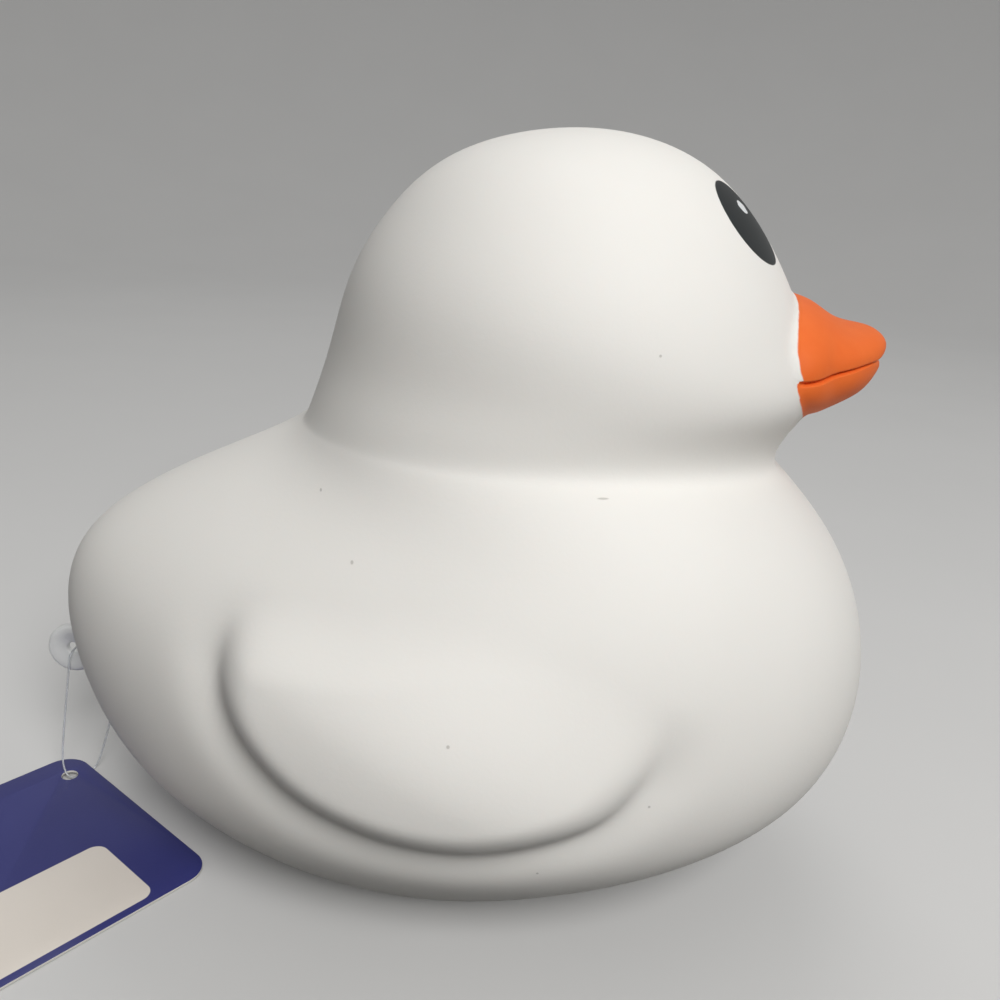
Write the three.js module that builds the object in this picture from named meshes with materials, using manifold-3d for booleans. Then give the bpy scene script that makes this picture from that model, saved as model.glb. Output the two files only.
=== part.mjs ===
// A soft foam duck, moulded in one block, with a plastic eyelet in its tail and a card tag on a thread.
// Millimetres. +X is forward, towards the bill, +Z is up, and the duck stands on z = 0.
import * as THREE from 'three';
import { mergeVertices } from 'three/addons/utils/BufferGeometryUtils.js';
import Module from 'manifold-3d';

const wasm = await Module();
wasm.setup();

// Fineness of the lofts.
const trunkSides = 84;
const flankCrowding = 0.2; // brings the sides closer together on the flanks, where the wings are
const bodyRings = 40;
const headRings = 18;
const billSides = 24;
const billRings = 10;
const shortestEdge = 0.05;
const weldDistance = 1e-4;

// Sections of the foam. Each is a tilted oval: a front and a back point [x, z] on the middle plane, half its
// width, where the widest place lies between back (0) and front (1), and how much the rear half tapers.
const neck = { front: [57.2, 80.8], back: [-27.5, 83], half: 39, widest: 0.5, taper: 0 };
const bodySections = [
  { front: [31, 0], back: [-23.5, 0], half: 26, widest: 0.5, taper: 0 },
  { front: [57.5, 10.5], back: [-57, 11], half: 42.5, widest: 0.52, taper: 0.13 },
  { front: [75.5, 28], back: [-71.5, 30], half: 56, widest: 0.55, taper: 0.26 },
  { front: [78, 50], back: [-70, 56.5], half: 57.5, widest: 0.57, taper: 0.3 },
  { front: [69.5, 68.5], back: [-40, 75.5], half: 50, widest: 0.56, taper: 0.22 },
  neck,
];
const headSections = [
  neck,
  { front: [62.5, 93], back: [-23.5, 95.5], half: 40.5, widest: 0.5, taper: 0 },
  { front: [60.5, 102.5], back: [-20, 108.5], half: 40, widest: 0.5, taper: 0 },
  { front: [53.5, 115.5], back: [-13.5, 120], half: 35, widest: 0.5, taper: 0 },
  { front: [40.5, 129.5], back: [-1, 130.5], half: 22.5, widest: 0.5, taper: 0 },
  { front: [20.5, 135], back: [20.5, 135], half: 0, widest: 0.5, taper: 0 },
];
const neckLift = 3.7; // the neck crease rises this much at the cheeks
const neckLiftReach = 0.9; // in sections
const neckLean = 0.35; // share by which it rises more in front and less behind
const neckRound = 0.2; // softens the rise on the middle plane

// The wings are soft-edged pads on the flanks, with a groove behind and under them. They melt into the body
// above a line which drops towards the front. The outline is [x, z], seen from the side.
const wingProud = 3.8;
const wingEdge = 5.5; // from the outline to the full height
const wingGroove = 1.8;
const wingGrooveHalf = [4, 2]; // outside and inside the outline
const meltHeight = 44; // of the line at x = 0
const meltDrop = 0.45;
const padMelt = 34; // above the line
const grooveMelt = 14;
const wingOutlineSteps = 48;
const wingOutline = [
  [-27.5, 60], [-30.8, 53], [-28.6, 45], [-19.5, 36.6], [-6.5, 32.2], [7.5, 31.5],
  [19, 34], [29.6, 38.7], [36, 47], [36.6, 55], [31, 64], [12, 67], [-10, 63.5],
];

// The bill, from inside the head out to the tip: front is the rail below and back the one above. The two
// halves overlap on the middle plane, and part in a crease along their sides.
const upperBill = [
  { front: [46, 97.6], back: [46, 113.5], half: 26, widest: 0.85, taper: 0 },
  { front: [56, 97.8], back: [57, 110.4], half: 23.2, widest: 0.85, taper: 0 },
  { front: [61, 98.8], back: [61, 109.1], half: 19, widest: 0.85, taper: 0 },
  { front: [65, 99.6], back: [65, 106.9], half: 15, widest: 0.83, taper: 0 },
  { front: [69, 100.2], back: [69, 106], half: 10.4, widest: 0.8, taper: 0 },
  { front: [72.2, 100.7], back: [72.2, 105.3], half: 5.8, widest: 0.7, taper: 0 },
  { front: [74.2, 103], back: [74.2, 103], half: 0, widest: 0.5, taper: 0 },
];
const lowerBill = [
  { front: [46, 90.5], back: [46, 100], half: 25.4, widest: 0.15, taper: 0 },
  { front: [57.5, 90], back: [56.5, 100], half: 22.8, widest: 0.15, taper: 0 },
  { front: [63.3, 91], back: [61, 100.6], half: 18.6, widest: 0.15, taper: 0 },
  { front: [67.3, 92.9], back: [65, 101.1], half: 14.7, widest: 0.15, taper: 0 },
  { front: [70.5, 94.9], back: [68.6, 101.5], half: 10.1, widest: 0.17, taper: 0 },
  { front: [72.6, 97.7], back: [71.5, 101.4], half: 5.5, widest: 0.25, taper: 0 },
  { front: [73.5, 99.9], back: [73.5, 99.9], half: 0, widest: 0.5, taper: 0 },
];

// The eyelet: a thick ring with a stem that is moulded into the tail.
const ringCentre = [-76.2, 28.8]; // [x, z], just behind the tail
const ringRadius = 5.1;
const ringHole = 1.2;
const ringThick = 2.4;
const ringEdge = 0.6; // rounding
const ringEdgeSteps = 2;
const stemHalf = 2.2;
const stemEnd = 13; // ahead of the ring's centre
const seatGap = 0.3;
const arcSteps = 10;

// The tag lies on the table beside the tail, its top edge a little raised by the thread under it.
const tagWidth = 46;
const tagHeight = 50;
const tagThick = 0.5;
const tagCorner = 5;
const tagHole = { x: 41.4, y: 43.6, radius: 1.6 };
const tagPlace = { x: -66.9, y: -64.7, z: 0.1, heading: 53, tilt: 1.2 };

// The thread: from the eyelet down through the tag's hole, under the tag, and back up to the eyelet.
const threadRadius = 0.2;
const threadSides = 8;
const threadSteps = 64;
const threadRoute = [
  [-76.2, -0.2, 28.3], [-76.2, -1.2, 28.25], [-76.4, -1.9, 27.5], [-76.6, -2.1, 25.7], [-76.9, -2.4, 22.9],
  [-77.5, -2.9, 17.5], [-78.1, -3.6, 11.3], [-78.4, -4.2, 7], [-78.4, -4.6, 4.2], [-78, -5, 2.7],
  [-77.4, -5.3, 1.6], [-76.7, -5.1, 0.7], [-75.8, -4, 0.35], [-74.6, -2.5, 0.35], [-73.6, -1, 0.6],
  [-72.9, 0, 2], [-72.2, 1.2, 4.9], [-71.4, 3, 9.6], [-71.1, 4.2, 14.5], [-71.8, 4.4, 19.3],
  [-73.3, 3.6, 23.8], [-75, 2.6, 26.8], [-76, 1.7, 28.1], [-76.2, 0.9, 28.25], [-76.2, 0.2, 28.3],
];

const foam = new THREE.MeshStandardMaterial({ color: 0xf0efec, roughness: 0.85, metalness: 0 });
const eyeletPlastic = new THREE.MeshStandardMaterial({ color: 0xe6e6e2, roughness: 0.35, metalness: 0 });
const nylon = new THREE.MeshStandardMaterial({ color: 0xdcdfe2, roughness: 0.2, metalness: 0 });
const card = new THREE.MeshStandardMaterial({ color: 0x2c2f72, roughness: 0.45, metalness: 0 });

// Natural cubic spline through evenly spaced values; a level start has no slope at its first value.
function splineThrough(values, levelStart = false) {
  const last = values.length - 1;
  const pivot = new Array(last + 1).fill(0);
  const bend = new Array(last + 1).fill(0);
  if (levelStart) {
    pivot[0] = 1 / 2;
    bend[0] = 3 * (values[1] - values[0]);
  }
  for (let i = 1; i < last; i++) {
    const load = 6 * (values[i - 1] - 2 * values[i] + values[i + 1]);
    pivot[i] = 1 / (4 - pivot[i - 1]);
    bend[i] = (load - bend[i - 1]) * pivot[i];
  }
  for (let i = last - 1; i >= 0; i--) bend[i] -= pivot[i] * bend[i + 1];
  return (share) => {
    const i = Math.min(Math.floor(share * last), last - 1);
    const b = share * last - i;
    const a = 1 - b;
    return a * values[i] + b * values[i + 1] + ((a ** 3 - a) * bend[i] + (b ** 3 - b) * bend[i + 1]) / 6;
  };
}

// Rails of a loft with two open ends, from a level sole.
function openRails(sections) {
  const along = (pick, level) => splineThrough(sections.map(pick), level);
  const rails = {
    frontX: along((s) => s.front[0]), frontZ: along((s) => s.front[1], true),
    backX: along((s) => s.back[0]), backZ: along((s) => s.back[1], true),
    half: along((s) => s.half), widest: along((s) => s.widest), taper: along((s) => s.taper),
  };
  return (share) => Object.fromEntries(Object.entries(rails).map(([key, rail]) => [key, rail(share)]));
}

// Rails of a loft that closes in a round tip: front and back are one curve over the tip.
function domeRails(sections) {
  const over = (front, back) => {
    const returning = sections.map(back).reverse().slice(1);
    return splineThrough([...sections.map(front), ...returning]);
  };
  const x = over((s) => s.front[0], (s) => s.back[0]);
  const z = over((s) => s.front[1], (s) => s.back[1]);
  const half = over((s) => s.half, (s) => -s.half);
  const widest = over((s) => s.widest, (s) => s.widest);
  return (share) => ({
    frontX: x(share / 2), frontZ: z(share / 2), backX: x(1 - share / 2), backZ: z(1 - share / 2),
    half: half(share / 2), widest: widest(share / 2), taper: 0,
  });
}

const wingCurve = new THREE.CatmullRomCurve3(
  wingOutline.map(([x, z]) => new THREE.Vector3(x, z, 0)), true, 'centripetal');
const wingPoints = wingCurve.getSpacedPoints(wingOutlineSteps).slice(0, -1);

// Distance from the wing's outline, positive inside it.
function depthInWing(x, z) {
  let nearest = Infinity;
  let inside = false;
  wingPoints.forEach((a, i) => {
    const b = wingPoints[(i + 1) % wingPoints.length];
    const along = ((x - a.x) * (b.x - a.x) + (z - a.y) * (b.y - a.y)) / a.distanceToSquared(b);
    const foot = a.clone().lerp(b, THREE.MathUtils.clamp(along, 0, 1));
    nearest = Math.min(nearest, Math.hypot(x - foot.x, z - foot.y));
    const crosses = (a.y > z) !== (b.y > z) && x < a.x + ((z - a.y) * (b.x - a.x)) / (b.y - a.y);
    if (crosses) inside = !inside;
  });
  return inside ? nearest : -nearest;
}

// How far the flank stands out at a place seen from the side.
function wingRelief(x, z) {
  const depth = depthInWing(x, z);
  const aboveLine = z - (meltHeight - meltDrop * x);
  const pad = wingProud * THREE.MathUtils.smoothstep(depth, 0, wingEdge);
  const half = wingGrooveHalf[depth < 0 ? 0 : 1];
  const groove = wingGroove * Math.exp(-((depth / half) ** 2));
  const left = (band) => 1 - THREE.MathUtils.smoothstep(aboveLine, 0, band);
  return left(padMelt) * pad - left(grooveMelt) * groove;
}

// One oval ring of a loft, counter-clockwise seen from above. lift raises its flanks.
function ovalRing(rail, sides, lift = 0, relief = () => 0) {
  const ring = [];
  const length = rail.frontX - rail.backX;
  for (let k = 0; k < sides; k++) {
    const even = (2 * Math.PI * k) / sides;
    const turn = even + flankCrowding * Math.sin(2 * even);
    const c = Math.cos(turn);
    const s = Math.sin(turn);
    const reach = c >= 0 ? 1 - rail.widest : rail.widest;
    const share = rail.widest + reach * c;
    const narrow = c >= 0 ? 1 : 1 - rail.taper * c * c;
    const x = THREE.MathUtils.lerp(rail.backX, rail.frontX, share);
    const rise = (lift * (1 + neckLean * c) * s * s) / Math.hypot(s, neckRound);
    const z = THREE.MathUtils.lerp(rail.backZ, rail.frontZ, share) + rise;
    const outward = new THREE.Vector2(c * rail.half, s * reach * length).normalize();
    outward.multiplyScalar(relief(x, z));
    ring.push([x + outward.x, rail.half * s * narrow + outward.y, z]);
  }
  return ring;
}

// A closed skin over rings, with a flat cap on the first ring and a point for a tip.
function skinOver(rings, tip) {
  const sides = rings[0].length;
  const middle = rings[0].reduce((sum, p) => sum.map((v, i) => v + p[i] / sides), [0, 0, 0]);
  const points = [middle, ...rings.flat(), tip];
  const tipIndex = points.length - 1;
  const at = (ring, side) => 1 + ring * sides + (side % sides);
  const faces = [];
  for (let side = 0; side < sides; side++) {
    faces.push(0, at(0, side + 1), at(0, side));
    for (let ring = 0; ring < rings.length - 1; ring++) {
      faces.push(at(ring, side), at(ring, side + 1), at(ring + 1, side + 1));
      faces.push(at(ring, side), at(ring + 1, side + 1), at(ring + 1, side));
    }
    faces.push(at(rings.length - 1, side), at(rings.length - 1, side + 1), tipIndex);
  }
  const geometry = new THREE.BufferGeometry();
  geometry.setAttribute('position', new THREE.Float32BufferAttribute(points.flat(), 3));
  geometry.setIndex(faces);
  return geometry;
}

function domeRings(sections, count, sides, liftAt = () => 0) {
  const rails = domeRails(sections);
  return Array.from({ length: count }, (_, i) => ovalRing(rails(i / count), sides, liftAt(i / count)));
}

function tipOf(sections) {
  const [x, z] = sections.at(-1).front;
  return [x, 0, z];
}

// Body, wings and head as one loft, with a crease where the two sets of rails meet at the neck.
function trunk() {
  const lift = (sectionsAway) => neckLift * Math.exp(-((sectionsAway / neckLiftReach) ** 2));
  const bodyLift = (share) => lift((1 - share) * (bodySections.length - 1));
  const headLift = (share) => lift(share * (headSections.length - 1));
  const rails = openRails(bodySections);
  const rings = [];
  for (let i = 0; i < bodyRings; i++) {
    const share = i / bodyRings;
    rings.push(ovalRing(rails(share), trunkSides, bodyLift(share), wingRelief));
  }
  rings.push(...domeRings(headSections, headRings, trunkSides, headLift));
  return skinOver(rings, tipOf(headSections));
}

function solidOf(geometry) {
  const bare = geometry.clone();
  bare.deleteAttribute('normal');
  bare.deleteAttribute('uv');
  const merged = mergeVertices(bare, weldDistance);
  return new wasm.Manifold(new wasm.Mesh({
    numProp: 3,
    vertProperties: Float32Array.from(merged.attributes.position.array),
    triVerts: Uint32Array.from(merged.index.array),
  }));
}

// Closes up the very short edges that a join leaves: their ends become one point.
function geometryOf(solid) {
  const { vertProperties, triVerts } = solid.getMesh();
  const point = (i) => new THREE.Vector3().fromArray(vertProperties, 3 * i);
  const same = Array.from({ length: vertProperties.length / 3 }, (_, i) => i);
  const home = (i) => {
    while (same[i] !== i) i = same[i];
    return i;
  };
  for (let i = 0; i < triVerts.length; i++) {
    const next = i % 3 === 2 ? i - 2 : i + 1;
    const [a, b] = [triVerts[i], triVerts[next]];
    if (point(a).distanceTo(point(b)) < shortestEdge) same[home(a)] = home(b);
  }
  const faces = [];
  for (let i = 0; i < triVerts.length; i += 3) {
    const [a, b, c] = [home(triVerts[i]), home(triVerts[i + 1]), home(triVerts[i + 2])];
    if (a !== b && b !== c && c !== a) faces.push(a, b, c);
  }
  const geometry = new THREE.BufferGeometry();
  geometry.setAttribute('position', new THREE.BufferAttribute(Float32Array.from(vertProperties), 3));
  geometry.setIndex(faces);
  geometry.computeVertexNormals();
  return geometry;
}

function bill(sections) {
  return solidOf(skinOver(domeRings(sections, billRings, billSides), tipOf(sections)));
}

// Outline of the eyelet or, with a gap, of its seat: a disc with a stem towards +X.
function eyeletShape(gap) {
  const radius = ringRadius + gap;
  const half = stemHalf + gap;
  const meet = Math.asin(half / radius);
  const shape = new THREE.Shape();
  shape.absarc(0, 0, radius, meet, 2 * Math.PI - meet);
  shape.lineTo(stemEnd + gap, -half);
  shape.lineTo(stemEnd + gap, half);
  return shape;
}

function eyeletSolid(shape, thick, edge) {
  const geometry = new THREE.ExtrudeGeometry(shape, {
    depth: thick - 2 * edge, curveSegments: arcSteps, bevelEnabled: edge > 0,
    bevelThickness: edge, bevelSize: edge, bevelOffset: -edge, bevelSegments: ringEdgeSteps,
  });
  const [x, z] = ringCentre;
  geometry.translate(0, 0, edge - thick / 2).rotateX(Math.PI / 2).translate(x, 0, z);
  return geometry;
}

function hangRing() {
  const shape = eyeletShape(0);
  shape.holes.push(new THREE.Path().absarc(0, 0, ringHole, 0, 2 * Math.PI, true));
  return eyeletSolid(shape, ringThick, ringEdge);
}

function hangTag() {
  const [w, h, r] = [tagWidth, tagHeight, tagCorner];
  const shape = new THREE.Shape();
  shape.absarc(w - r, r, r, -Math.PI / 2, 0);
  shape.absarc(w - r, h - r, r, 0, Math.PI / 2);
  shape.absarc(r, h - r, r, Math.PI / 2, Math.PI);
  shape.absarc(r, r, r, Math.PI, 1.5 * Math.PI);
  shape.holes.push(new THREE.Path().absarc(tagHole.x, tagHole.y, tagHole.radius, 0, 2 * Math.PI, true));
  return new THREE.ExtrudeGeometry(shape, { depth: tagThick, bevelEnabled: false, curveSegments: arcSteps });
}

function tagThread() {
  const stops = threadRoute.map((p) => new THREE.Vector3(...p));
  const path = new THREE.CatmullRomCurve3(stops, false, 'centripetal');
  const section = new THREE.Shape();
  for (let k = 0; k < threadSides; k++) {
    const turn = (2 * Math.PI * k) / threadSides;
    const point = [threadRadius * Math.cos(turn), threadRadius * Math.sin(turn)];
    if (k === 0) section.moveTo(...point);
    else section.lineTo(...point);
  }
  return new THREE.ExtrudeGeometry(section, { steps: threadSteps, extrudePath: path });
}

function named(name, geometry, material) {
  const mesh = new THREE.Mesh(geometry, material);
  mesh.name = name;
  return mesh;
}

const seat = solidOf(eyeletSolid(eyeletShape(seatGap), ringThick + 2 * seatGap, 0));
const foamBlock = solidOf(trunk()).add(bill(upperBill)).add(bill(lowerBill)).subtract(seat);
const body = named('duck_body', geometryOf(foamBlock), foam);
const ring = named('hang_ring', hangRing(), eyeletPlastic);

const tag = named('hang_tag', hangTag(), card);
const [tagTilt, tagHeading] = [tagPlace.tilt, tagPlace.heading].map(THREE.MathUtils.degToRad);
tag.position.set(tagPlace.x, tagPlace.y, tagPlace.z);
tag.rotation.set(tagTilt, 0, tagHeading, 'ZYX');

const duck = new THREE.Group();
duck.add(body, ring, named('tag_thread', tagThread(), nylon), tag);

// The origin is under the middle of the duck with its eyelet.
const reach = new THREE.Box3().setFromObject(body).expandByObject(ring);
const middle = reach.getCenter(new THREE.Vector3());
duck.children.forEach((piece) => {
  piece.position.x -= middle.x;
});

export default duck;
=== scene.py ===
import math

import bmesh
import bpy
import numpy as np
from mathutils import Matrix, Vector, noise
from mathutils.bvhtree import BVHTree


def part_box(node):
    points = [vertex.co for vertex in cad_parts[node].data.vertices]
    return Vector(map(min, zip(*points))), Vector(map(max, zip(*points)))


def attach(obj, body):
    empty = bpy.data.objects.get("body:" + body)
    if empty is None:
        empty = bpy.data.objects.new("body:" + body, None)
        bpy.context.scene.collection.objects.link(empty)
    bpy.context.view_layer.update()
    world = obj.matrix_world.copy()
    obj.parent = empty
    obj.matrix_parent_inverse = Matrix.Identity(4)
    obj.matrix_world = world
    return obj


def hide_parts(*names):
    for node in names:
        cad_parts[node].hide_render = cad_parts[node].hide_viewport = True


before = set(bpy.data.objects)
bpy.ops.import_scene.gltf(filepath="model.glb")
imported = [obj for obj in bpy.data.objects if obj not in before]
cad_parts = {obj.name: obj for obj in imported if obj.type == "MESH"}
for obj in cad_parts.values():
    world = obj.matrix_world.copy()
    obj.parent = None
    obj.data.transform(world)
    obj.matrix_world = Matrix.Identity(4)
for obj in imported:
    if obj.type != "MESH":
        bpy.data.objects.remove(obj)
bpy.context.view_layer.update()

mm = 0.001
scene = bpy.context.scene
ringBack = -81.3  # mm, rear of the eyelet in the mould's own measures, which all the pieces below use
forward = Matrix.Translation((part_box("hang_ring")[0].x - ringBack * mm, 0, 0))  # from there to the frame


# Camera first: the picture's own standpoint
camera = {
    "place": (13.9, -180.9, 131.2),  # mm
    "heading": 1.65,  # degrees to the left of straight across
    "dip": 19.3,
    "roll": 4.0,
    "lens": 36.36,
    "sensor": 36.0,
}


def turned(degrees, axis):
    return Matrix.Rotation(math.radians(degrees), 4, axis)


def makeCamera(c):
    data = bpy.data.cameras.new("deskCamera")
    data.lens = c["lens"]
    data.sensor_width = c["sensor"]
    data.clip_start = 0.01
    eye = bpy.data.objects.new("deskCamera", data)
    aim = turned(c["heading"], "Z") @ turned(90 - c["dip"], "X") @ turned(c["roll"], "Z")
    eye.matrix_world = forward @ Matrix.Translation(Vector(c["place"]) * mm) @ aim
    scene.collection.objects.link(eye)
    scene.camera = eye


makeCamera(camera)
print("camera set")


# Shader maths as plain expressions
class Value:
    def __init__(self, tree, socket):
        self.tree = tree
        self.socket = socket

    def math(self, operation, *others):
        maths = self.tree.nodes.new("ShaderNodeMath")
        maths.operation = operation
        for slot, item in zip(maths.inputs, (self, *others)):
            if isinstance(item, Value):
                self.tree.links.new(item.socket, slot)
            else:
                slot.default_value = item
        return Value(self.tree, maths.outputs[0])

    def __add__(self, other):
        return self.math("ADD", other)

    def __sub__(self, other):
        return self.math("SUBTRACT", other)

    def __rsub__(self, other):
        return (self * -1).math("ADD", other)

    def __mul__(self, other):
        return self.math("MULTIPLY", other)

    def __truediv__(self, other):
        return self.math("DIVIDE", other)

    def __rtruediv__(self, other):
        return self.math("POWER", -1) * other

    __radd__ = __add__
    __rmul__ = __mul__

    def step(self, low, high):  # soft step from 0 at low to 1 at high
        share = (self - low) / (high - low)
        share = share.math("MAXIMUM", 0).math("MINIMUM", 1)
        return share * share * (3 - 2 * share)


class Finish:
    def __init__(self, name, kind="materials"):
        self.home = getattr(bpy.data, kind).new(name)
        self.home.use_nodes = True
        self.tree = self.home.node_tree
        self.tree.nodes.clear()

    def add(self, kind, settings=None, sockets=None, out=0):
        node = self.tree.nodes.new(kind)
        for name, value in (settings or {}).items():
            setattr(node, name, value)
        for name, value in (sockets or {}).items():
            if isinstance(value, Value):
                self.tree.links.new(value.socket, node.inputs[name])
            else:
                node.inputs[name].default_value = value
        return Value(self.tree, node.outputs[out]) if node.outputs else None

    def axis(self, place, letter):
        return self.add("ShaderNodeSeparateXYZ", None, {"Vector": place}, letter)

    def attribute(self, name):
        return self.add("ShaderNodeAttribute", {"attribute_name": name}, out="Fac")

    def coordinates(self, out="Object"):
        return self.add("ShaderNodeTexCoord", out=out)

    def noise(self, place, scale, detail=2.0, roughness=0.5):
        sockets = {"Vector": place, "Scale": scale, "Detail": detail, "Roughness": roughness}
        return self.add("ShaderNodeTexNoise", None, sockets, "Fac")

    def mix(self, share, first, second):
        return self.add("ShaderNodeMix", {"data_type": "RGBA"}, {0: share, 6: first, 7: second}, 2)

    def between(self, share, colours):  # from the first screen colour to the second
        return self.mix(share, *(tint(*colour) for colour in colours))

    def bump(self, height, strength, distance):
        sockets = {"Height": height, "Strength": strength, "Distance": distance}
        return self.add("ShaderNodeBump", None, sockets)

    def surface(self, **sockets):
        named = {name.replace("_", " "): value for name, value in sockets.items()}
        shader = self.add("ShaderNodeBsdfPrincipled", None, named)
        self.add("ShaderNodeOutputMaterial", None, {"Surface": shader})
        return self.home


def tint(red, green, blue):  # a screen colour, 0 to 255, as the light it stands for
    return [((v / 255 + 0.055) / 1.055) ** 2.4 for v in (red, green, blue)] + [1.0]


# Curves through points
def smoothRun(points, perSpan, closed=False):
    points = np.asarray(points, float)
    if closed:
        padded = np.vstack([points[-1:], points, points[:2]])
    else:
        padded = np.vstack([2 * points[0] - points[1], points, 2 * points[-1] - points[-2]])
    run = []
    for a, b, c, d in zip(padded, padded[1:], padded[2:], padded[3:]):
        gaps = [np.linalg.norm(q - p) ** 0.5 for p, q in ((a, b), (b, c), (c, d))]
        k0, k1, k2, k3 = np.cumsum([0, *gaps])
        t = np.linspace(k1, k2, perSpan, endpoint=False)[:, None]
        ab = ((k1 - t) * a + (t - k0) * b) / (k1 - k0)
        bc = ((k2 - t) * b + (t - k1) * c) / (k2 - k1)
        cd = ((k3 - t) * c + (t - k2) * d) / (k3 - k2)
        abc = ((k2 - t) * ab + (t - k0) * bc) / (k2 - k0)
        bcd = ((k3 - t) * bc + (t - k1) * cd) / (k3 - k1)
        run.append(((k2 - t) * abc + (t - k1) * bcd) / (k2 - k1))
    if not closed:
        run.append(points[-1:])
    return np.vstack(run)


def meshFrom(name, points, faces):
    mesh = bpy.data.meshes.new(name)
    mesh.from_pydata(np.asarray(points).tolist(), [], faces)
    mesh.validate()
    return mesh


def placeMesh(name, mesh, material=None):
    piece = bpy.data.objects.new(name, mesh)
    if material:
        mesh.materials.clear()
        mesh.materials.append(material)
    scene.collection.objects.link(piece)
    return piece


def settled(piece):  # the evaluated piece as a plain mesh, with nothing left live on it
    bpy.context.view_layer.update()
    graph = bpy.context.evaluated_depsgraph_get()
    mesh = bpy.data.meshes.new_from_object(piece.evaluated_get(graph))
    piece.modifiers.clear()
    return mesh


# Tag thread: clear nylon from the eyelet through the tag's hole and back
thread = {
    "radius": 0.2,  # mm, as all the sizes below
    "sides": 10,
    "perSpan": 6,
    "clear": ((214, 218, 222), (240, 242, 244)),
    "route": [
        (-76.2, -0.2, 28.3), (-76.2, -1.2, 28.25), (-76.4, -1.9, 27.5), (-76.6, -2.1, 25.7),
        (-76.9, -2.4, 22.9), (-77.5, -2.9, 17.5), (-78.1, -3.6, 11.3), (-78.4, -4.2, 7),
        (-78.4, -4.6, 4.2), (-78, -5, 2.7),
        (-77.4, -5.3, 1.6), (-76.7, -5.1, 0.7), (-75.8, -4, 0.35), (-74.6, -2.5, 0.35), (-73.6, -1, 0.6),
        (-72.9, 0, 2), (-72.2, 1.2, 4.9), (-71.4, 3, 9.6), (-71.1, 4.2, 14.5), (-71.8, 4.4, 19.3),
        (-73.3, 3.6, 23.8), (-75, 2.6, 26.8), (-76, 1.7, 28.1), (-76.2, 0.9, 28.25), (-76.2, 0.2, 28.3),
    ],
}


def nylonFinish():
    f = Finish("clearNylon")
    cloud = f.noise(f.coordinates(), 900)
    return f.surface(
        Base_Color=f.between(cloud, thread["clear"]),
        Roughness=0.12 + 0.14 * cloud,
        IOR=1.53,
        Transmission_Weight=0.55,
        Specular_IOR_Level=0.6,
    )


def threadTree(material):
    tree = bpy.data.node_groups.new("threadTube", "GeometryNodeTree")
    face = tree.interface
    face.new_socket("Geometry", in_out="INPUT", socket_type="NodeSocketGeometry")
    radius = face.new_socket("Radius", in_out="INPUT", socket_type="NodeSocketFloat")
    sides = face.new_socket("Sides", in_out="INPUT", socket_type="NodeSocketInt")
    face.new_socket("Geometry", in_out="OUTPUT", socket_type="NodeSocketGeometry")
    node = tree.nodes.new
    link = tree.links.new
    enter, leave = node("NodeGroupInput"), node("NodeGroupOutput")
    line = node("GeometryNodeMeshToCurve")
    ring = node("GeometryNodeCurvePrimitiveCircle")
    tube = node("GeometryNodeCurveToMesh")
    tube.inputs["Fill Caps"].default_value = True
    real = node("GeometryNodeRealizeInstances")
    paint = node("GeometryNodeSetMaterial")
    paint.inputs["Material"].default_value = material
    link(enter.outputs["Geometry"], line.inputs["Mesh"])
    link(enter.outputs["Radius"], ring.inputs["Radius"])
    link(enter.outputs["Sides"], ring.inputs["Resolution"])
    link(line.outputs["Curve"], tube.inputs["Curve"])
    link(ring.outputs["Curve"], tube.inputs["Profile Curve"])
    link(tube.outputs["Mesh"], real.inputs["Geometry"])
    link(real.outputs["Geometry"], paint.inputs["Geometry"])
    link(paint.outputs["Geometry"], leave.inputs["Geometry"])
    return tree, radius.identifier, sides.identifier


def makeThread(t):
    path = smoothRun(t["route"], t["perSpan"]) * mm
    line = bpy.data.meshes.new("threadLine")
    line.from_pydata(path.tolist(), [(i, i + 1) for i in range(len(path) - 1)], [])
    guide = placeMesh("threadGuide", line)
    material = nylonFinish()
    tree, radius, sides = threadTree(material)
    modifier = guide.modifiers.new("tube", "NODES")
    modifier.node_group = tree
    modifier[radius] = t["radius"] * mm
    modifier[sides] = t["sides"]
    mesh = settled(guide)
    bpy.data.objects.remove(guide)
    mesh.shade_smooth()
    length = float(np.linalg.norm(np.diff(path, axis=0), axis=1).sum())
    return placeMesh("tagThread", mesh), path, length


tagThread, threadPath, threadLength = makeThread(thread)
print("thread", round(threadLength, 4), "m long")


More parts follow.
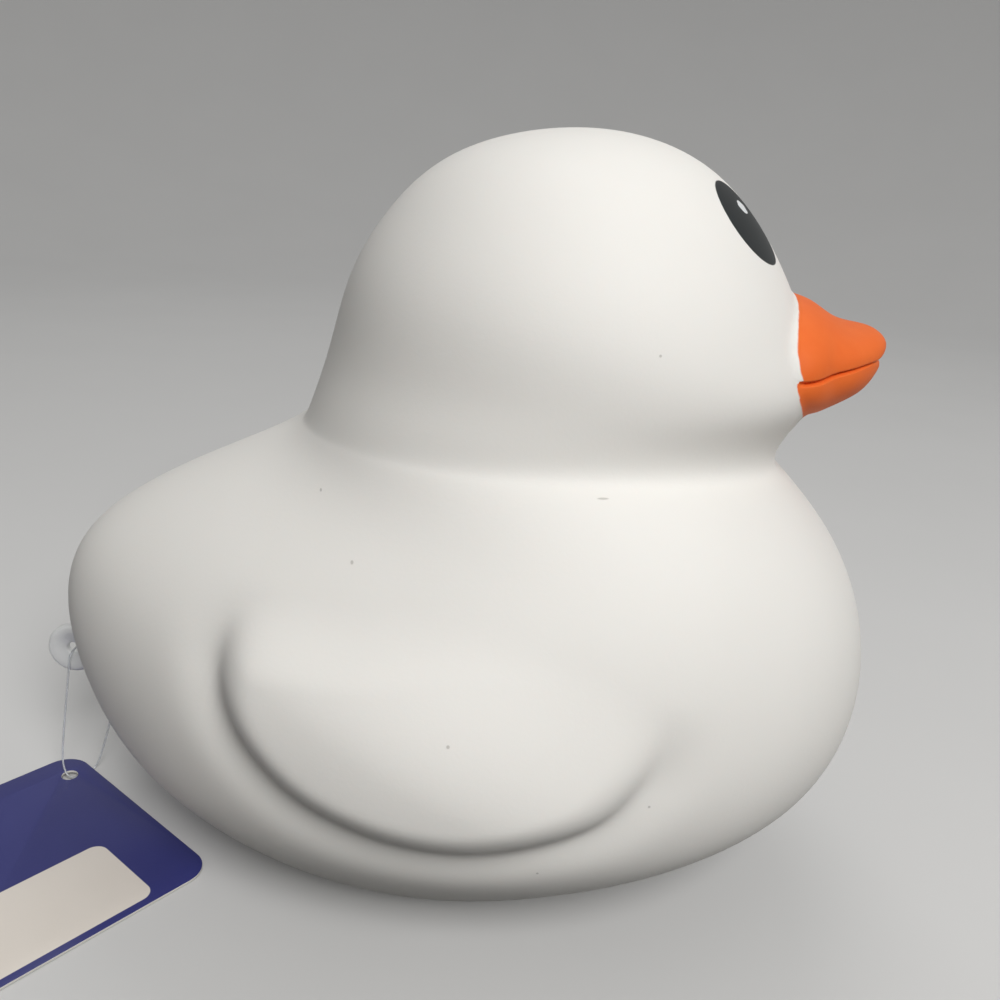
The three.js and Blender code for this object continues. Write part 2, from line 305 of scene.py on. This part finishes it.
# The foam duck: a loft over tilted ovals. Each section is front x, z and back x, z on the middle plane,
# half its width, where the widest place lies from back to front, and how much the rear tapers.
neck = (57.2, 80.8, -27.5, 83, 40.3, 0.5, 0)
duck = {
    "sides": 360,
    "flankCrowding": 0.3,  # more points on the flanks, where the wings are
    "bodyRings": 150,
    "headRings": 72,
    "billSides": 120,
    "billRings": 60,
    "body": [
        (31, 0, -23.5, 0, 26, 0.5, 0),
        (57.5, 10.5, -57, 11, 42.5, 0.52, 0.13),
        (75.5, 28, -71.5, 30, 56, 0.55, 0.26),
        (78, 50, -70, 56.5, 57.5, 0.57, 0.3),
        (69.5, 68.5, -40, 75.5, 50, 0.56, 0.22),
        neck,
    ],
    "head": [
        neck,
        (62.5, 93, -23.5, 95.5, 40.5, 0.5, 0),
        (60.5, 102.5, -20, 108.5, 40, 0.5, 0),
        (53.5, 115.5, -13.5, 120, 35, 0.5, 0),
        (40.5, 129.5, -1, 130.5, 22.5, 0.5, 0),
        (20.5, 135, 20.5, 135, 0, 0.5, 0),
    ],
    "neckLift": 4.2,  # rise of the neck crease at the cheeks
    "neckLiftReach": 0.9,
    "neckLean": 0.35,  # more of it in front, less behind
    "neckRound": 0.2,
    "creaseSmooth": 8,  # passes that round the neck crease
    "creaseReach": 3.0,  # rings to either side of it
    "upperBill": [  # the lower rail is the front one
        (46, 97.6, 46, 113.5, 26, 0.85, 0),
        (56, 97.8, 57, 110.4, 23.2, 0.85, 0),
        (61, 98.8, 61, 109.1, 19, 0.85, 0),
        (65, 99.6, 65, 106.9, 15.8, 0.83, 0),
        (69, 100.2, 69, 106, 11.8, 0.8, 0),
        (72.2, 100.7, 72.2, 105.3, 7.4, 0.7, 0),
        (74.2, 103, 74.2, 103, 0, 0.5, 0),
    ],
    "lowerBill": [
        (46, 90.5, 46, 100, 25.4, 0.15, 0),
        (57.5, 90, 56.5, 100, 22.8, 0.15, 0),
        (63.3, 91, 61, 100.6, 18.6, 0.15, 0),
        (67.3, 92.9, 65, 101.1, 15.5, 0.15, 0),
        (70.5, 94.9, 68.6, 101.5, 11.4, 0.17, 0),
        (72.6, 97.7, 71.5, 101.4, 7, 0.25, 0),
        (73.5, 99.9, 73.5, 99.9, 0, 0.5, 0),
    ],
    "billFrom": 40,  # the bill and its paint lie ahead of this x
    "billReach": 30,  # further from the head than this doesn't count
    "cornerReach": 5.0,  # nor further from the bill than this
    "billFillet": 1.6,  # reach of the soft corner where bill and head meet
    "filletPasses": 12,
    "waver": 0.12,  # gentle unevenness of hand-poured foam
    "waverSpan": 26.0,
    "flatSole": 8,  # height over which it starts
}
wing = {
    "proud": 4.0,
    "edge": (2.8, 7.2),  # the flank's reach outside and inside the outline
    "groove": 1.5,
    "grooveOff": 2.2,  # how far outside the outline the groove is deepest
    "grooveHalf": (5.0, 3.0),  # outside and inside of there
    "padMelt": (44, 0.45, 30),  # melts into the body above this height, less so much of x, over this band
    "grooveMelt": (46.5, 0.12, 16),
    "outlineSteps": 10,
    "outline": [
        (-27.5, 60), (-30.8, 53), (-28.6, 45), (-19.5, 36.6), (-6.5, 32.2), (7.5, 31.5),
        (18.8, 34.2), (28.8, 39.2), (34.4, 47.4), (34.8, 55), (30, 64), (12, 67), (-10, 63.5),
    ],
}
eye = {
    "centre": (45.65, -12.9, 122.75),
    "halfWide": 8.4,
    "halfTall": 8.1,
    "glint": (0.9, 2.5),  # across and up from the eye's centre
    "glintHalf": (1.9, 1.35),
    "facing": 0.3,  # least agreement with the eye's own direction
    "farOff": 9.0,  # what counts as far from any eye
}
paint = {
    "bareStrip": (0.25, 0.7),  # foam left bare behind the upper bill's paint, at its top and at the mouth
    "stripHeights": (110.5, 102.0),
    "lowerStrip": -0.3,
    "mouthHeights": (99.6, 100.9),  # of the crease at the corners and in front
    "mouthReach": (56, 70),
    "evenPasses": 3,
    "white": ((237, 234, 228), (244, 241, 235)),
    "orange": ((234, 104, 36), (242, 116, 46)),
    "eyeDark": (38, 42, 43),
    "glintPale": (232, 234, 234),
    "speckBrown": (120, 112, 100),
    "speckShare": 0.4,
    "edgeSoft": 0.12,  # half the width of the bill paint's edge
    "eyeEdgeSoft": 0.1,
    "specks": [  # marks on the near side, seen from it: x, z, half length and half height
        (-11.5, 71.1, 0.3, 0.3), (5.6, 52.0, 0.3, 0.3), (35.5, 40.2, 0.25, 0.25), (19.9, 27.0, 0.25, 0.25),
        (31.0, 104.7, 0.25, 0.25), (-18.9, 77.9, 0.25, 0.25), (24.8, 83.9, 1.0, 0.15),
    ],
}


def splineThrough(values, levelStart=False):
    values = np.asarray(values, float)
    last = len(values) - 1
    system = np.eye(last + 1)
    load = np.zeros(last + 1)
    for i in range(1, last):
        system[i, i - 1:i + 2] = 1, 4, 1
        load[i] = 6 * (values[i - 1] - 2 * values[i] + values[i + 1])
    if levelStart:
        system[0, :2] = 2, 1
        load[0] = 6 * (values[1] - values[0])
    bend = np.linalg.solve(system, load)

    def at(share):
        i = np.minimum((share * last).astype(int), last - 1)
        b = share * last - i
        a = 1 - b
        return a * values[i] + b * values[i + 1] + ((a**3 - a) * bend[i] + (b**3 - b) * bend[i + 1]) / 6

    return at


def openRails(sections, shares):  # the z rails start level, for a flat sole
    return [splineThrough(v, k in (1, 3))(shares) for k, v in enumerate(np.array(sections, float).T)]


def domeRails(sections, shares, upright=False):  # front and back rails are one curve over the round tip
    frontX, frontZ, backX, backZ, half, widest, _ = np.array(sections, float).T

    def over(front, back, level=False):
        return splineThrough(np.concatenate([front, back[::-1][1:]]), level)

    x, z, wide = over(frontX, backX, upright), over(frontZ, backZ), over(half, -half, upright)
    near, far = shares / 2, 1 - shares / 2
    return [x(near), z(near), x(far), z(far), wide(near), over(widest, widest)(near), 0 * shares]


def ovalRings(rails, sides, lift):
    frontX, frontZ, backX, backZ, half, widest, taper = (np.asarray(r)[:, None] for r in rails)
    even = np.linspace(0, 2 * math.pi, sides, endpoint=False)[None]
    turn = even + duck["flankCrowding"] * np.sin(2 * even)
    c, s = np.cos(turn), np.sin(turn)
    reach = np.where(c >= 0, 1 - widest, widest)
    share = widest + reach * c
    narrow = np.where(c >= 0, 1, 1 - taper * c * c)
    x = backX + (frontX - backX) * share
    flank = (1 + duck["neckLean"] * c) * s * s / np.hypot(s, duck["neckRound"])
    z = backZ + (frontZ - backZ) * share + np.asarray(lift)[:, None] * flank
    out = np.stack([c * half, s * reach * (frontX - backX), 0 * x], -1)
    out /= np.maximum(np.linalg.norm(out, axis=-1, keepdims=True), 1e-9)
    return np.stack([x, half * s * narrow, z], -1), out


def softStep(value, low, high):
    share = np.clip((value - low) / (high - low), 0, 1)
    return share * share * (3 - 2 * share)


def depthInLoop(x, z, loop):  # distance from a closed outline, positive inside
    nearest = np.full(x.shape, np.inf)
    inside = np.zeros(x.shape, bool)
    for (ax, az), (bx, bz) in zip(loop, np.roll(loop, -1, 0)):
        along = ((x - ax) * (bx - ax) + (z - az) * (bz - az)) / ((bx - ax) ** 2 + (bz - az) ** 2)
        along = np.clip(along, 0, 1)
        nearest = np.minimum(nearest, np.hypot(x - ax - along * (bx - ax), z - az - along * (bz - az)))
        if az != bz:
            inside ^= ((az > z) != (bz > z)) & (x < ax + (z - az) * (bx - ax) / (bz - az))
    return np.where(inside, nearest, -nearest)


def wingRelief(points):
    x, z = points[..., 0], points[..., 2]
    depth = depthInLoop(x, z, smoothRun(wing["outline"], wing["outlineSteps"], closed=True))
    outside, inside = wing["edge"]
    pad = wing["proud"] * softStep(depth, -outside, inside)
    fromDeepest = depth + wing["grooveOff"]
    outside, inside = wing["grooveHalf"]
    groove = wing["groove"] * np.exp(-((fromDeepest / np.where(fromDeepest < 0, outside, inside)) ** 2))
    left = lambda height, drop, band: 1 - softStep(z - (height - drop * x), 0, band)
    return left(*wing["padMelt"]) * pad - left(*wing["grooveMelt"]) * groove


def skinOver(name, rings, tip):  # closed skin: a fan on the first ring, quads up to a point
    count, sides = rings.shape[:2]
    points = np.vstack([rings.reshape(-1, 3), rings[0].mean(0), tip])
    middle, top = len(points) - 2, len(points) - 1
    at = lambda ring, side: ring * sides + side % sides
    faces = []
    for side in range(sides):
        faces.append((middle, at(0, side + 1), at(0, side)))
        faces.append((at(count - 1, side), at(count - 1, side + 1), top))
        for ring in range(count - 1):
            quad = at(ring, side), at(ring, side + 1), at(ring + 1, side + 1), at(ring + 1, side)
            faces.append(quad)
    return meshFrom(name, points * mm, faces)


def waver(points):  # slow unevenness, along the outward direction
    span = duck["waverSpan"]
    heights = [noise.noise(Vector(p) / span) for p in points.reshape(-1, 3)]
    return duck["waver"] * np.array(heights).reshape(points.shape[:-1])


def trunkMesh():
    lift = lambda away: duck["neckLift"] * np.exp(-((away / duck["neckLiftReach"]) ** 2))
    below = np.arange(duck["bodyRings"]) / duck["bodyRings"]
    above = np.arange(duck["headRings"]) / duck["headRings"]
    spans = len(duck["body"]) - 1
    body, bodyOut = ovalRings(openRails(duck["body"], below), duck["sides"], lift((1 - below) * spans))
    uneven = waver(body) * softStep(body[..., 2], 0, duck["flatSole"])
    body += bodyOut * (wingRelief(body) + uneven)[..., None]
    head, headOut = ovalRings(domeRails(duck["head"], above, True), duck["sides"], lift(above * spans))
    head += headOut * waver(head)[..., None]
    rings = np.concatenate([body, head])
    near = np.exp(-((np.arange(len(rings)) - duck["bodyRings"]) / duck["creaseReach"]) ** 2)[1:-1, None, None]
    for _ in range(duck["creaseSmooth"]):
        rings[1:-1] += near * (0.25 * (rings[:-2] + rings[2:]) - 0.5 * rings[1:-1])
    tip = duck["head"][-1]
    return skinOver("trunk", rings, (tip[0], 0, tip[1]))


def billMesh(name, sections):
    shares = np.arange(duck["billRings"]) / duck["billRings"]
    rings, _ = ovalRings(domeRails(sections, shares), duck["billSides"], 0 * shares)
    tip = sections[-1]
    return skinOver(name, rings, (tip[0], 0, tip[1]))


def joined(base, *steps):  # joins or cuts closed meshes, one after the other
    piece = placeMesh("joining", base)
    for operation, mesh in steps:
        tool = placeMesh("joiningTool", mesh)
        modifier = piece.modifiers.new("join", "BOOLEAN")
        modifier.operation = operation
        modifier.solver = "MANIFOLD"
        modifier.object = tool
        piece.data = settled(piece)
        bpy.data.objects.remove(tool)
    mesh = piece.data
    bpy.data.objects.remove(piece)
    return mesh


def pointsOf(mesh):
    points = np.empty(3 * len(mesh.vertices))
    mesh.vertices.foreach_get("co", points)
    return points.reshape(-1, 3)


def surfaceOf(mesh):
    return BVHTree.FromPolygons([v.co for v in mesh.vertices], [p.vertices for p in mesh.polygons])


def distanceTo(surface, points, reach):  # mm, no more than reach
    found = [surface.find_nearest(Vector(p), reach * mm)[3] for p in points]
    return np.array([reach if d is None else d / mm for d in found])


def edgesOf(mesh):  # both ends of every edge, and how many edges meet at each point
    edges = np.empty(2 * len(mesh.edges), int)
    mesh.edges.foreach_get("vertices", edges)
    a, b = edges.reshape(-1, 2).T
    return a, b, np.maximum(np.bincount(edges, minlength=len(mesh.vertices)), 1)


def eased(mesh, weight, passes):  # evens out the points that carry weight
    points = pointsOf(mesh)
    a, b, count = edgesOf(mesh)
    for _ in range(passes):
        total = np.zeros_like(points)
        np.add.at(total, a, points[b])
        np.add.at(total, b, points[a])
        points += 0.5 * weight[:, None] * (total / count[:, None] - points)
    mesh.vertices.foreach_set("co", points.ravel())
    mesh.update()


def averaged(mesh, values, passes):  # evens out a value from point to point
    a, b, count = edgesOf(mesh)
    for _ in range(passes):
        around = np.bincount(a, values[b], len(values)) + np.bincount(b, values[a], len(values))
        values = 0.5 * values + 0.5 * around / count
    return values


def keep(mesh, name, values):
    mesh.attributes.new(name, "FLOAT", "POINT").data.foreach_set("value", np.asarray(values, np.float32))


def eyeFields(points, normals):  # distance outside the printed eyes and their glints, mm
    field = np.full(len(points), eye["farOff"])
    glint = field.copy()
    for side in (1, -1):
        centre = np.array(eye["centre"]) * (1, side, 1)
        nearest = np.argmin(((points - centre) ** 2).sum(1))
        out = normals[nearest]
        across = np.cross((0, 0, 1), out)
        across *= side / np.linalg.norm(across)
        up = np.cross(out, across) * side
        u, v = (points - centre) @ across, (points - centre) @ up
        facing = normals @ out > eye["facing"]
        ring = (np.hypot(u / eye["halfWide"], v / eye["halfTall"]) - 1) * eye["halfWide"]
        (atU, atV), (halfU, halfV) = eye["glint"], eye["glintHalf"]
        shine = (np.hypot((u - atU) / halfU, (v - atV) / halfV) - 1) * halfU
        field = np.where(facing, np.minimum(field, ring), field)
        glint = np.where(facing, np.minimum(glint, shine), glint)
    return field, glint


def billField(points, depth, outside):  # how far past the edge of the bill's paint, mm
    x, z = points[:, 0], points[:, 2]
    top, low = paint["stripHeights"]
    atTop, atMouth = paint["bareStrip"]
    strip = atTop + (atMouth - atTop) * softStep(-z, -top, -low)
    back, front = paint["mouthHeights"]
    mouth = back + (front - back) * softStep(x, *paint["mouthReach"])
    return depth - np.where(z > mouth, strip, paint["lowerStrip"]) - outside


def specksOn(f, place):
    x, y, z = (f.axis(place, letter) for letter in "XYZ")
    total = 0
    for atX, atZ, long, high in paint["specks"]:
        across = (x - (forward.translation.x + atX * mm)) / (long * mm)
        up = (z - atZ * mm) / (high * mm)
        total = total + (1 - (across * across + up * up).math("SQRT").step(0.5, 1.1))
    return total * y.math("LESS_THAN", 0)


def foamFinish():
    f = Finish("paintedFoam")
    place = f.coordinates()
    cloud = f.noise(place, 28, 3)
    grain = f.noise(place, 1500, 3, 0.6)
    ragged = (f.noise(place, 500, 2) - 0.5) * 0.2  # unevenness of the paint's edge
    soft, eyeSoft = paint["edgeSoft"], paint["eyeEdgeSoft"]
    bill = (f.attribute("billPaint") + ragged).step(-soft, soft)
    eyes = 1 - (f.attribute("eyePaint") + ragged * 0.3).step(-eyeSoft, eyeSoft)
    glint = 1 - (f.attribute("glintPaint") + ragged * 0.3).step(-eyeSoft, eyeSoft)
    white = f.between(cloud, paint["white"])
    white = f.mix(specksOn(f, place) * paint["speckShare"], white, tint(*paint["speckBrown"]))
    orange = f.between(f.noise(place, 240, 3), paint["orange"])
    colour = f.mix(bill, white, orange)
    colour = f.mix(eyes, colour, tint(*paint["eyeDark"]))
    colour = f.mix(eyes * glint, colour, tint(*paint["glintPale"]))
    height = grain * (1 - 0.75 * eyes)
    return f.surface(
        Base_Color=colour,
        Roughness=0.62 + 0.1 * cloud - 0.08 * bill - 0.26 * eyes,
        Normal=f.bump(height, 0.05, 0.0004),
        Specular_IOR_Level=0.4,
        Subsurface_Weight=0.08,
        Subsurface_Radius=(0.004, 0.003, 0.0025),
        Subsurface_Scale=1.0,
    )


# The eyelet: a dished ring on a stem that is moulded into the tail
eyelet = {
    "centre": (-76.2, 0.0, 28.8),
    "radius": 5.1,
    "hole": 1.2,
    "thick": 2.4,
    "dish": 0.45,  # how far the faces sink towards the hole
    "dishRun": [(2.6, 0.6), (3.4, 0.12)],  # radius, and share of the dish there
    "rimRound": 0.7,
    "lipRound": 0.4,
    "stemStart": 1.4,  # behind the hole's edge
    "stemHalf": 2.2,
    "stemEnd": 13.0,
    "stemPower": 5,  # how square its section is
    "stemSides": 48,
    "seatStart": -1.0,
    "seatGap": 0.3,
    "seatPower": 8,
    "steps": 96,
    "roundSteps": 7,
    "milk": ((226, 227, 225), (240, 240, 238)),
}
eyeletCentre = Vector(eyelet["centre"])


def ringMesh():
    radius, hole, half, dish = eyelet["radius"], eyelet["hole"], eyelet["thick"] / 2, eyelet["dish"]
    outer, inner = eyelet["rimRound"], eyelet["lipRound"]
    quarter = np.linspace(0, math.pi / 2, eyelet["roundSteps"])
    rim = [(radius - outer + outer * math.sin(a), half - outer + outer * math.cos(a)) for a in quarter]
    lip = [(hole + inner - inner * math.cos(a), half - dish - inner + inner * math.sin(a)) for a in quarter]
    face = lip + [(r, half - dish * share) for r, share in eyelet["dishRun"]] + rim
    profile = face + [(r, -h) for r, h in face[::-1]]
    steps = eyelet["steps"]
    points, faces = [], []
    for k in range(steps):
        turn = 2 * math.pi * k / steps
        points += [(r * math.cos(turn), h, r * math.sin(turn)) for r, h in profile]
    count = len(profile)
    at = lambda k, i: (k % steps) * count + i % count
    for k in range(steps):
        faces += [(at(k, i), at(k, i + 1), at(k + 1, i + 1), at(k + 1, i)) for i in range(count)]
    return meshFrom("ring", (np.array(points) + eyeletCentre) * mm, faces)


def barMesh(name, start, end, halfHigh, halfThick, power):  # a bar along x with a rounded section
    turn = np.linspace(0, 2 * math.pi, eyelet["stemSides"], endpoint=False)
    c, s = np.cos(turn), np.sin(turn)
    y = halfThick * np.sign(c) * np.abs(c) ** (2 / power)
    z = halfHigh * np.sign(s) * np.abs(s) ** (2 / power)
    sides = len(turn)
    points = [(x, a, b) for x in (start, end) for a, b in zip(y, z)]
    faces = [(k, (k + 1) % sides, sides + (k + 1) % sides, sides + k) for k in range(sides)]
    faces += [tuple(range(sides))[::-1], tuple(range(sides, 2 * sides))]
    return meshFrom(name, (np.array(points) + eyeletCentre) * mm, faces)


def eyeletFinish():
    f = Finish("milkyPlastic")
    cloud = f.noise(f.coordinates(), 350, 2)
    return f.surface(
        Base_Color=f.between(cloud, eyelet["milk"]),
        Roughness=0.3 + 0.12 * cloud,
        Normal=f.bump(cloud, 0.08, 0.0003),
        Transmission_Weight=0.1,
        Subsurface_Weight=0.5,
        Subsurface_Radius=(0.003, 0.003, 0.003),
        Subsurface_Scale=1.0,
    )


def makeEyelet():
    e = eyelet
    start = e["hole"] + e["stemStart"]
    stem = barMesh("stem", start, e["stemEnd"], e["stemHalf"], e["thick"] / 2, e["stemPower"])
    mesh = joined(ringMesh(), ("UNION", stem))
    mesh.shade_smooth()
    mesh.set_sharp_from_angle(angle=math.radians(40))
    return placeMesh("hangRing", mesh, eyeletFinish())


def makeDuck():
    trunk = trunkMesh()
    trunkSurface = surfaceOf(trunk)
    bills = [billMesh(name, duck[name]) for name in ("upperBill", "lowerBill")]
    billSurfaces = [surfaceOf(bill) for bill in bills]
    e = eyelet
    gap = e["seatGap"]
    end, halfHigh, halfThick = e["stemEnd"] + gap, e["stemHalf"] + gap, e["thick"] / 2 + gap
    seat = barMesh("seat", e["seatStart"], end, halfHigh, halfThick, e["seatPower"])
    mesh = joined(trunk, *(("UNION", bill) for bill in bills), ("DIFFERENCE", seat))
    print("foam joined,", len(mesh.polygons), "faces")
    points = pointsOf(mesh)
    front = points[:, 0] > duck["billFrom"] * mm
    reach = duck["cornerReach"]
    fromTrunk = np.zeros(len(points))
    fromTrunk[front] = distanceTo(trunkSurface, points[front], duck["billReach"])
    fromBill = np.full(len(points), reach)
    fromBill[front] = np.min([distanceTo(s, points[front], reach) for s in billSurfaces], axis=0)
    corner = 1 - softStep(np.maximum(fromTrunk, fromBill), 0, duck["billFillet"])
    eased(mesh, corner, duck["filletPasses"])
    points = pointsOf(mesh)
    normals = np.empty(3 * len(points))
    mesh.vertices.foreach_get("normal", normals)
    eyePaint, glintPaint = eyeFields(points / mm, normals.reshape(-1, 3))
    keep(mesh, "eyePaint", eyePaint)
    keep(mesh, "glintPaint", glintPaint)
    billPaint = np.where(front, billField(points / mm, fromTrunk, fromBill), -reach)
    keep(mesh, "billPaint", averaged(mesh, billPaint, paint["evenPasses"]))
    mesh.shade_smooth()
    return placeMesh("duckBody", mesh, foamFinish())


duckBody = makeDuck()
print("duck done")
hangRing = makeEyelet()
print("eyelet done")


# The card tag on the thread, plain dark blue with a bare pale panel
tag = {
    "wide": 46.0,
    "high": 50.0,
    "thick": 0.5,
    "corner": 5.0,
    "hole": (41.4, 43.6, 1.6),  # x, y and radius
    "edge": 0.06,
    "place": (-66.9, -64.7, 0.1),
    "heading": 53,
    "tilt": 1.2,
    "panel": (3.6, 1.6, 34.9, 20.3),
    "panelCorner": 2.4,
    "panelEdge": 0.08,  # half the width of the print's edge
    "cornerSteps": 12,
    "holeSteps": 36,
    "blue": ((46, 49, 112), (56, 59, 124)),
    "cream": ((226, 217, 206), (234, 226, 216)),
    "core": ((214, 210, 202), (236, 233, 226)),
}


def outlineSpline(curve, points):
    spline = curve.splines.new("POLY")
    spline.points.add(len(points) - 1)
    for p, (x, y) in zip(spline.points, points):
        p.co = (x * mm, y * mm, 0, 1)
    spline.use_cyclic_u = True


def arc(x, y, radius, start, end, steps):
    turns = np.radians(np.linspace(start, end, steps))
    return [(x + radius * math.cos(a), y + radius * math.sin(a)) for a in turns]


def cardFinish():
    f = Finish("coatedCard")
    flat = f.add("ShaderNodeUVMap", {"uv_map": "card"})
    x, y = f.axis(flat, "X") * tag["wide"], f.axis(flat, "Y") * tag["high"]
    left, low, right, high = tag["panel"]
    corner = tag["panelCorner"]
    across = (x - (left + right) / 2).math("ABSOLUTE") - ((right - left) / 2 - corner)
    up = (y - (low + high) / 2).math("ABSOLUTE") - ((high - low) / 2 - corner)
    across, up = across.math("MAXIMUM", 0), up.math("MAXIMUM", 0)
    soft = tag["panelEdge"]
    panel = 1 - ((across * across + up * up).math("SQRT") - corner).step(-soft, soft)
    normal = f.add("ShaderNodeNewGeometry", out="Normal")
    top = f.axis(normal, "Z").step(0.6, 0.85)  # only the upper face is printed
    place = f.coordinates()
    fibre = f.noise(place, 2200, 3, 0.6)
    cloud = f.noise(place, 60, 2)
    blue, cream = f.between(cloud, tag["blue"]), f.between(cloud, tag["cream"])
    core = f.between(fibre, tag["core"])
    colour = f.mix(top, core, f.mix(panel, blue, cream))
    return f.surface(
        Base_Color=colour,
        Roughness=0.75 - top * (0.4 - 0.08 * cloud),
        Normal=f.bump(fibre, 0.1, 0.0002),
        Coat_Weight=0.35 * top,
        Coat_Roughness=0.25,
    )


def makeTag(t):
    w, h, r = t["wide"], t["high"], t["corner"]
    edge = t["edge"]
    outer = []
    for x, y, start in ((w - r, r, -90), (w - r, h - r, 0), (r, h - r, 90), (r, r, 180)):
        outer += arc(x, y, r - edge, start, start + 90, t["cornerSteps"])
    holeX, holeY, holeRadius = t["hole"]
    flat = bpy.data.curves.new("tagOutline", "CURVE")
    flat.dimensions = "2D"
    flat.fill_mode = "BOTH"
    outlineSpline(flat, outer)
    outlineSpline(flat, arc(holeX, holeY, holeRadius + edge, 0, 360, t["holeSteps"] + 1)[:-1])
    flat.extrude = (t["thick"] / 2 - edge) * mm
    flat.bevel_depth = edge * mm
    flat.bevel_resolution = 2
    pattern = bpy.data.objects.new("tagPattern", flat)
    scene.collection.objects.link(pattern)
    mesh = settled(pattern)
    bpy.data.objects.remove(pattern)
    card = bmesh.new()
    card.from_mesh(mesh)
    bmesh.ops.remove_doubles(card, verts=card.verts, dist=0.001 * mm)
    bmesh.ops.recalc_face_normals(card, faces=card.faces)
    sheetMap = card.loops.layers.uv.new("card")
    for face in card.faces:
        for loop in face.loops:
            loop[sheetMap].uv = loop.vert.co.x / (w * mm), loop.vert.co.y / (h * mm)
    card.to_mesh(mesh)
    card.free()
    lie = turned(t["heading"], "Z") @ turned(t["tilt"], "X") @ Matrix.Translation((0, 0, t["thick"] / 2 * mm))
    mesh.transform(Matrix.Translation(Vector(t["place"]) * mm) @ lie)
    mesh.shade_smooth()
    mesh.set_sharp_from_angle(angle=math.radians(35))
    return placeMesh("hangTag", mesh, cardFinish())


hangTag = makeTag(tag)
print("tag done")


# Pale floor and soft studio light
studio = {
    "floorRadius": 0.8,
    "floorTurn": 0.5,  # radius of the floor's upward sweep
    "wallHeight": 1.6,
    "floorColour": (214, 213, 211),
    "worldColour": (226, 227, 228),
    "worldStrength": 0.26,
    "innerRadius": 0.3,
    "steps": 96,
    "turnSteps": 16,
    "aim": (0, 0, 0.06),  # where the lamps point
    "nadir": 0.2,  # how bright it is below the horizon, beside that
    "farGlow": 3.0,  # how much brighter it is on the far side, which the window leaves in shade
    "lamps": [  # name, place, size, watts
        ("window", (0.36, -0.82, 0.83), 0.6, 11.2),
        ("farFill", (0.0, 0.7, 1.2), 0.8, 2.2),
    ],
}


def floorFinish():
    f = Finish("paleFloor")
    cloud = f.noise(f.coordinates(), 14, 3)
    pale = studio["floorColour"]
    return f.surface(
        Base_Color=f.mix(cloud, tint(*(v - 2 for v in pale)), tint(*(v + 2 for v in pale))),
        Roughness=0.7,
        Specular_IOR_Level=0.25,
    )


def makeStudio(s):
    turn = np.linspace(0, math.pi / 2, s["turnSteps"])
    radius, sweep, steps = s["floorRadius"], s["floorTurn"], s["steps"]
    profile = [(s["innerRadius"], 0)]
    profile += [(radius + sweep * math.sin(a), sweep * (1 - math.cos(a))) for a in turn]
    profile.append((radius + sweep, s["wallHeight"]))
    points = [(0, 0, 0)]
    for k in range(steps):
        a = 2 * math.pi * k / steps
        points += [(r * math.cos(a), r * math.sin(a), h) for r, h in profile]
    count = len(profile)
    at = lambda k, i: 1 + (k % steps) * count + i
    faces = []
    for k in range(steps):
        faces.append((0, at(k, 0), at(k + 1, 0)))
        faces += [(at(k, i), at(k, i + 1), at(k + 1, i + 1), at(k + 1, i)) for i in range(count - 1)]
    floor = placeMesh("floor", meshFrom("floor", points, faces), floorFinish())
    floor.data.shade_smooth()
    floor.visible_diffuse = False  # its glow would wash out the shade under the wings and the belly
    room = Finish("paleRoom", "worlds")
    around = room.coordinates("Generated")
    away, height = (room.axis(around, letter) for letter in "YZ")
    glow = s["worldStrength"] * (s["nadir"] + (1 - s["nadir"]) * height.step(-0.15, 0.05))
    glow = glow * (1 + s["farGlow"] * away.step(0.2, 0.9))
    light = room.add("ShaderNodeBackground", None, {"Color": tint(*s["worldColour"]), "Strength": glow})
    room.add("ShaderNodeOutputWorld", None, {"Surface": light})
    scene.world = room.home
    scene.view_settings.view_transform = "Standard"
    for name, place, size, watts in s["lamps"]:
        data = bpy.data.lights.new(name, "AREA")
        data.shape = "DISK"
        data.size = size
        data.energy = watts
        lamp = bpy.data.objects.new(name, data)
        lamp.location = place
        lamp.visible_camera = False
        lamp.rotation_euler = (Vector(s["aim"]) - Vector(place)).to_track_quat("-Z", "Y").to_euler()
        scene.collection.objects.link(lamp)


makeStudio(studio)
print("studio done")


# What stands for which solid
for piece, node, slot in (
    (duckBody, "duck_body", "foam"),
    (hangRing, "hang_ring", "eyelet"),
    (tagThread, "tag_thread", "thread"),
    (hangTag, "hang_tag", "card"),
):
    piece.data.transform(forward)
    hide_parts(node)
    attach(piece, "root")
threadPath = [forward @ Vector(p) for p in threadPath]
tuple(threadPath[0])
